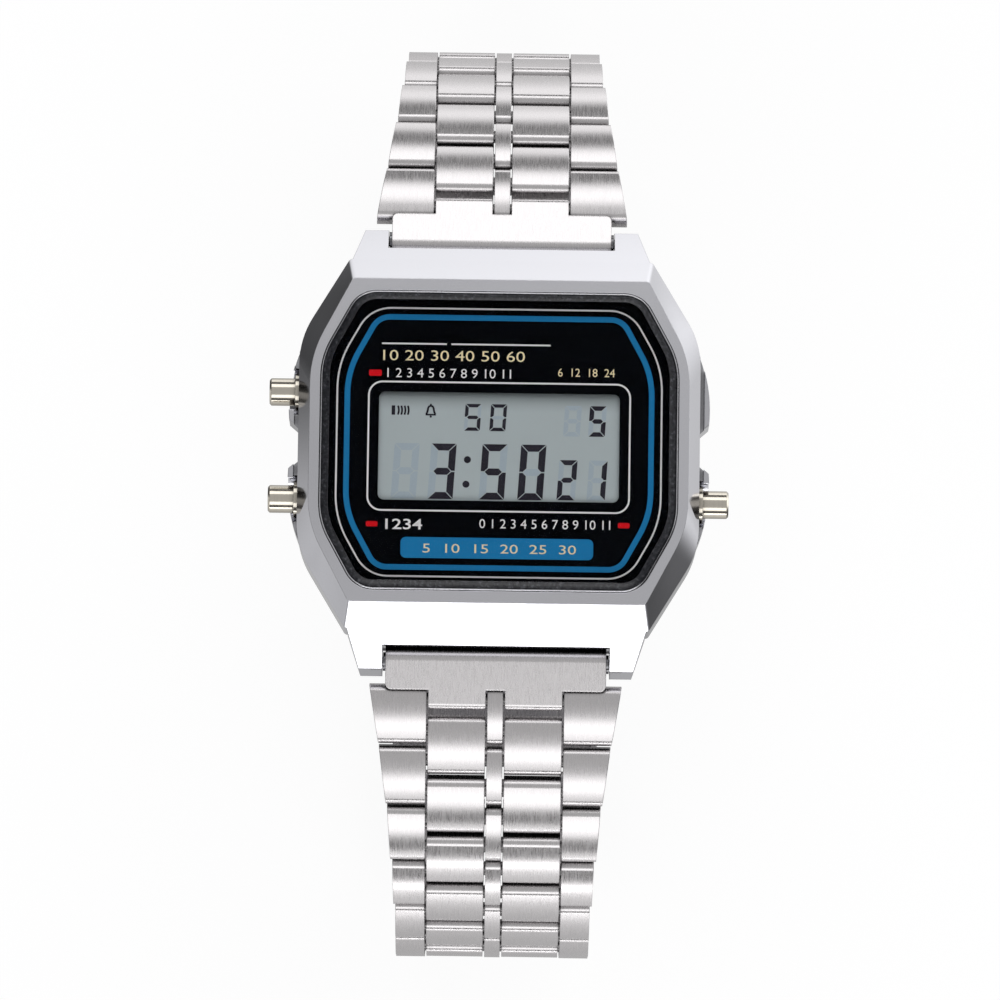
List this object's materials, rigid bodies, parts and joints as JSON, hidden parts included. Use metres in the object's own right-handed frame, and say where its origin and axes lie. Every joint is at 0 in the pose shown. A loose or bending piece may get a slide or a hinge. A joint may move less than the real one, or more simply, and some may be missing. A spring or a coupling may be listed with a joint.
{
  "type": "digital wristwatch",
  "caption": "Digital wristwatch with an eight-sided steel case, a liquid-crystal display, side pushers and a folded-link steel bracelet closed by a fold-over clasp.",
  "frame": {"origin": "bottom centre of the whole watch, on the plane that the clasp rests on", "axes": "+Z out of the dial, +Y towards 12 o'clock, +X towards 3 o'clock"},
  "size_m": [0.0364, 0.0744, 0.0429],
  "materials": {
    "case_steel": "polished slopes, satin plate",
    "back_steel": "circular brushed",
    "small_steel": "turned",
    "seal_rubber": "matte",
    "clear_crystal": "clear",
    "printed_dial": "printed",
    "display_glass": "frosted",
    "reflector_foil": "matte",
    "module_plastic": "moulded",
    "board_laminate": "laminate",
    "cell_steel": "plated",
    "contact_brass": "plated",
    "chip_resin": "gloss",
    "lamp_glass": "clear",
    "pusher_steel": "polished",
    "bracelet_steel": "brushed along the strap",
    "clasp_steel": "brushed along the strap"
  },
  "bodies": {
    "case": {"case_body": "case_steel", "case_back": "back_steel", "back_screws": "small_steel", "back_gasket": "seal_rubber", "crystal": "clear_crystal", "crystal_gasket": "seal_rubber", "dial_plate": "printed_dial", "lcd_panel": "display_glass", "lcd_reflector": "reflector_foil", "connector_strips": "seal_rubber", "module_frame": "module_plastic", "circuit_board": "board_laminate", "battery_holder": "module_plastic", "battery": "cell_steel", "battery_clip": "small_steel", "contact_blades": "contact_brass", "chip": "chip_resin", "quartz_can": "small_steel", "lamp": "lamp_glass", "buzzer_spring": "contact_brass", "buzzer": "contact_brass", "pusher_bushes": "pusher_steel", "lug_spring_bars": "small_steel", "light_spring": "small_steel", "mode_spring": "small_steel", "start_spring": "small_steel"},
    "light_pusher": {"light_pusher": "pusher_steel"},
    "mode_pusher": {"mode_pusher": "pusher_steel"},
    "start_pusher": {"start_pusher": "pusher_steel"},
    "end_link_12": {"end_link_12": "bracelet_steel"},
    "link_12_01": {"link_12_01": "bracelet_steel"},
    "link_12_02": {"link_12_02": "bracelet_steel"},
    "link_12_03": {"link_12_03": "bracelet_steel"},
    "link_12_04": {"link_12_04": "bracelet_steel"},
    "link_12_05": {"link_12_05": "bracelet_steel"},
    "link_12_06": {"link_12_06": "bracelet_steel"},
    "link_12_07": {"link_12_07": "bracelet_steel"},
    "link_12_08": {"link_12_08": "bracelet_steel"},
    "link_12_09": {"link_12_09": "bracelet_steel"},
    "link_12_10": {"link_12_10": "bracelet_steel"},
    "link_12_11": {"link_12_11": "bracelet_steel"},
    "end_link_6": {"end_link_6": "bracelet_steel"},
    "link_6_01": {"link_6_01": "bracelet_steel"},
    "link_6_02": {"link_6_02": "bracelet_steel"},
    "link_6_03": {"link_6_03": "bracelet_steel"},
    "link_6_04": {"link_6_04": "bracelet_steel"},
    "link_6_05": {"link_6_05": "bracelet_steel"},
    "link_6_06": {"link_6_06": "bracelet_steel"},
    "link_6_07": {"link_6_07": "bracelet_steel"},
    "link_6_08": {"link_6_08": "bracelet_steel"},
    "link_6_09": {"link_6_09": "bracelet_steel"},
    "link_6_10": {"link_6_10": "bracelet_steel"},
    "link_6_11": {"link_6_11": "bracelet_steel"},
    "clasp_inner_blade": {"clasp_inner_blade": "clasp_steel"},
    "clasp_outer_blade": {"clasp_outer_blade": "clasp_steel"},
    "clasp_cover": {"clasp_cover": "clasp_steel"}
  },
  "joints": [
    {"name": "end_link_12_hinge", "type": "hinge", "parent": "case", "child": "end_link_12", "pos_m": [0, 0.01827, 0.03653], "axis": [1, 0, 0], "range_deg": [0, 18]},
    {"name": "link_12_01_hinge", "type": "hinge", "parent": "end_link_12", "child": "link_12_01", "pos_m": [0, 0.02107, 0.03562], "axis": [1, 0, 0], "range_deg": [0, 2]},
    {"name": "link_12_02_hinge", "type": "hinge", "parent": "link_12_01", "child": "link_12_02", "pos_m": [0, 0.02339, 0.03478], "axis": [1, 0, 0], "range_deg": [0, 10]},
    {"name": "link_12_03_hinge", "type": "hinge", "parent": "link_12_02", "child": "link_12_03", "pos_m": [0, 0.02765, 0.03232], "axis": [1, 0, 0], "range_deg": [0, 11]},
    {"name": "link_12_04_hinge", "type": "hinge", "parent": "link_12_03", "child": "link_12_04", "pos_m": [0, 0.03136, 0.02909], "axis": [1, 0, 0], "range_deg": [0, 14]},
    {"name": "link_12_05_hinge", "type": "hinge", "parent": "link_12_04", "child": "link_12_05", "pos_m": [0, 0.03418, 0.02506], "axis": [1, 0, 0], "range_deg": [0, 14]},
    {"name": "link_12_06_hinge", "type": "hinge", "parent": "link_12_05", "child": "link_12_06", "pos_m": [0, 0.03595, 0.02047], "axis": [1, 0, 0], "range_deg": [0, 17]},
    {"name": "link_12_07_hinge", "type": "hinge", "parent": "link_12_06", "child": "link_12_07", "pos_m": [0, 0.03629, 0.01556], "axis": [1, 0, 0], "range_deg": [0, 18]},
    {"name": "link_12_08_hinge", "type": "hinge", "parent": "link_12_07", "child": "link_12_08", "pos_m": [0, 0.0351, 0.01078], "axis": [1, 0, 0], "range_deg": [0, 19]},
    {"name": "link_12_09_hinge", "type": "hinge", "parent": "link_12_08", "child": "link_12_09", "pos_m": [0, 0.03242, 0.00666], "axis": [1, 0, 0], "range_deg": [0, 20]},
    {"name": "link_12_10_hinge", "type": "hinge", "parent": "link_12_09", "child": "link_12_10", "pos_m": [0, 0.02849, 0.0037], "axis": [1, 0, 0], "range_deg": [0, 20]},
    {"name": "link_12_11_hinge", "type": "hinge", "parent": "link_12_10", "child": "link_12_11", "pos_m": [0, 0.02378, 0.00226], "axis": [1, 0, 0], "range_deg": [0, 14]},
    {"name": "end_link_6_hinge", "type": "hinge", "parent": "case", "child": "end_link_6", "pos_m": [0, -0.01553, 0.03653], "axis": [-1, 0, 0], "range_deg": [0, 16]},
    {"name": "link_6_01_hinge", "type": "hinge", "parent": "end_link_6", "child": "link_6_01", "pos_m": [0, -0.01837, 0.03572], "axis": [-1, 0, 0], "range_deg": [0, 1.5]},
    {"name": "link_6_02_hinge", "type": "hinge", "parent": "link_6_01", "child": "link_6_02", "pos_m": [0, -0.02071, 0.03498], "axis": [-1, 0, 0], "range_deg": [0, 1.5]},
    {"name": "link_6_03_hinge", "type": "hinge", "parent": "link_6_02", "child": "link_6_03", "pos_m": [0, -0.02536, 0.03337], "axis": [-1, 0, 0], "range_deg": [0, 12.5]},
    {"name": "link_6_04_hinge", "type": "hinge", "parent": "link_6_03", "child": "link_6_04", "pos_m": [0, -0.02956, 0.0308], "axis": [-1, 0, 0], "range_deg": [0, 16.5]},
    {"name": "link_6_05_hinge", "type": "hinge", "parent": "link_6_04", "child": "link_6_05", "pos_m": [0, -0.03285, 0.02715], "axis": [-1, 0, 0], "range_deg": [0, 14]},
    {"name": "link_6_06_hinge", "type": "hinge", "parent": "link_6_05", "child": "link_6_06", "pos_m": [0, -0.03516, 0.0228], "axis": [-1, 0, 0], "range_deg": [0, 14.79]},
    {"name": "link_6_07_hinge", "type": "hinge", "parent": "link_6_06", "child": "link_6_07", "pos_m": [0, -0.03629, 0.01801], "axis": [-1, 0, 0], "range_deg": [0, 17]},
    {"name": "link_6_08_hinge", "type": "hinge", "parent": "link_6_07", "child": "link_6_08", "pos_m": [0, -0.03596, 0.0131], "axis": [-1, 0, 0], "range_deg": [0, 18]},
    {"name": "link_6_09_hinge", "type": "hinge", "parent": "link_6_08", "child": "link_6_09", "pos_m": [0, -0.03413, 0.00854], "axis": [-1, 0, 0], "range_deg": [0, 20]},
    {"name": "link_6_10_hinge", "type": "hinge", "parent": "link_6_09", "child": "link_6_10", "pos_m": [0, -0.03086, 0.00487], "axis": [-1, 0, 0], "range_deg": [0, 21]},
    {"name": "link_6_11_hinge", "type": "hinge", "parent": "link_6_10", "child": "link_6_11", "pos_m": [0, -0.02648, 0.00262], "axis": [-1, 0, 0], "range_deg": [0, 20]},
    {"name": "clasp_swing", "type": "hinge", "parent": "link_12_11", "child": "clasp_inner_blade", "pos_m": [0, 0.01887, 0.002], "axis": [1, 0, 0], "range_deg": [0, 60]},
    {"name": "blade_fold", "type": "hinge", "parent": "clasp_inner_blade", "child": "clasp_outer_blade", "pos_m": [0, -0.0181, 0.00198], "axis": [-1, 0, 0], "range_deg": [0, 85]},
    {"name": "cover_fold", "type": "hinge", "parent": "clasp_outer_blade", "child": "clasp_cover", "pos_m": [0, 0.01547, 0.00155], "axis": [1, 0, 0], "range_deg": [0, 110]},
    {"name": "light_press", "type": "slide", "parent": "case", "child": "light_pusher", "axis": [1, 0, 0], "range_m": [0, 0.0007], "stiffness_N_per_m": 300, "springref_m": -0.0008, "deforming": ["light_spring"]},
    {"name": "mode_press", "type": "slide", "parent": "case", "child": "mode_pusher", "axis": [1, 0, 0], "range_m": [0, 0.0007], "stiffness_N_per_m": 300, "springref_m": -0.0008, "deforming": ["mode_spring"]},
    {"name": "start_press", "type": "slide", "parent": "case", "child": "start_pusher", "axis": [-1, 0, 0], "range_m": [0, 0.0007], "stiffness_N_per_m": 300, "springref_m": -0.0008, "deforming": ["start_spring"]}
  ]
}
